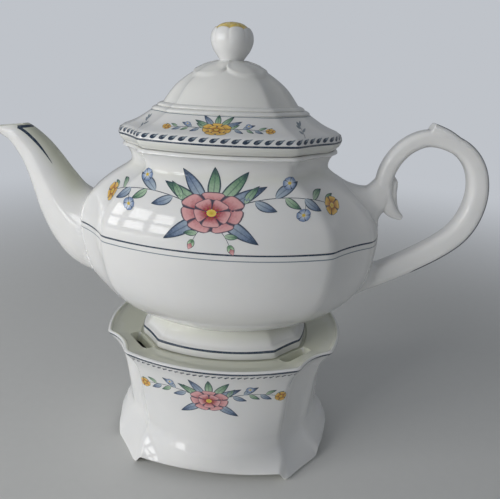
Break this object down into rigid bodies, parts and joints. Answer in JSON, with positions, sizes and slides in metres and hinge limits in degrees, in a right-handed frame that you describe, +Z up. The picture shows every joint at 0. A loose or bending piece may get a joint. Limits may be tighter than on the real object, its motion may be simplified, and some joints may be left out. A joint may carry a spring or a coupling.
{
  "type": "teapot with warmer",
  "caption": "Glazed porcelain teapot with a lift-off lid, standing on its matching warmer with a tealight inside; a long spout and an open loop handle.",
  "frame": {"origin": "on the table, at the middle of the object's footprint, on the upright axis shared by pot and warmer", "axes": "+X towards the handle, -X along the spout, -Y out of the decorated front, +Z up"},
  "size_m": [0.2731, 0.1138, 0.2387],
  "materials": {
    "porcelain": "clear gloss glaze over white porcelain, with painted lines and flowers under it",
    "tealight_wax": "white paraffin wax, satin",
    "tealight_foil": "thin drawn aluminium, satin",
    "wick_cotton": "waxed cotton"
  },
  "bodies": {
    "warmer": {"warmer_body": "porcelain"},
    "tealight": {"tealight_cup": "tealight_foil", "tealight_wax": "tealight_wax", "tealight_wick_disc": "tealight_foil", "tealight_wick": "wick_cotton"},
    "pot": {"pot_body": "porcelain", "pot_foot": "porcelain", "pot_spout": "porcelain", "pot_handle": "porcelain"},
    "lid": {"lid_body": "porcelain", "lid_knob": "porcelain"}
  },
  "joints": [
    {"name": "tealight_lift", "type": "slide", "parent": "warmer", "child": "tealight", "axis": [0, 0, 1], "range_m": [0, 0.03]},
    {"name": "pot_lift", "type": "slide", "parent": "warmer", "child": "pot", "axis": [0, 0, 1], "range_m": [0, 0.06]},
    {"name": "lid_lift", "type": "slide", "parent": "pot", "child": "lid", "axis": [0, 0, 1], "range_m": [0, 0.04]}
  ]
}
